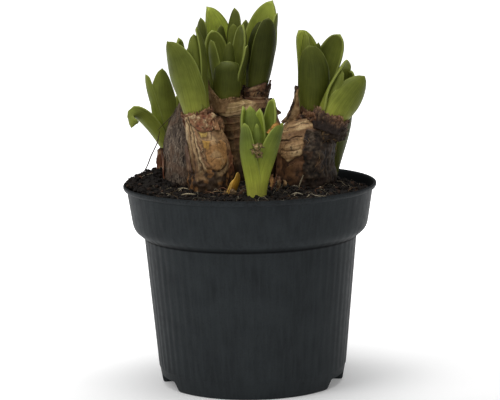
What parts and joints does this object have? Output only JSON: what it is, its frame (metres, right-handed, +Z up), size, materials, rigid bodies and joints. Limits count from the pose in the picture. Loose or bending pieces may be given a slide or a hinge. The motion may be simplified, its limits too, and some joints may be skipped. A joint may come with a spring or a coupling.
{
  "type": "potted hyacinth plant",
  "caption": "Nursery pot of soil with half-buried hyacinth bulbs and short leafy shoots with flower buds still hidden between the leaves.",
  "frame": {"origin": "on the pot's axis, at the level of the surface that its foot ring stands on", "axes": "+Z up along the pot's axis, -Y towards the side seen first, +X to its right"},
  "size_m": [0.13, 0.13, 0.1961],
  "materials": {
    "pot": "dark anthracite moulded plastic with fine upright flutes, satin",
    "soil": "moist crumbly peat with fibres and bits of straw, matt",
    "dark_bulb": "dark purple-brown fibrous tunic, matt",
    "tan_bulb": "dry papery tan tunic with creases, torn reddish edges and soil stains",
    "leaf": "fleshy dark green leaf with a soft waxy sheen and thin pale margins",
    "young_leaf": "fleshy bright yellow-green leaf with a soft waxy sheen",
    "pale_shoot": "fleshy yellow-orange shoot that has had no light"
  },
  "bodies": {
    "root": {"pot": "pot", "soil": "soil", "bulb_left": "dark_bulb", "bulb_front_left": "tan_bulb", "bulb_centre": "tan_bulb", "bulb_right": "tan_bulb", "bulb_back": "tan_bulb", "bulb_back_left": "tan_bulb", "shoot_left": "leaf", "shoot_front_left": "leaf", "shoot_centre": "leaf", "shoot_back_left": "leaf", "shoot_back": "leaf", "shoot_centre_right": "leaf", "shoot_right": "leaf", "shoot_far_right": "leaf", "shoot_behind_right": "leaf", "shoot_front": "young_leaf", "shoot_yellow": "pale_shoot"}
  },
  "joints": []
}
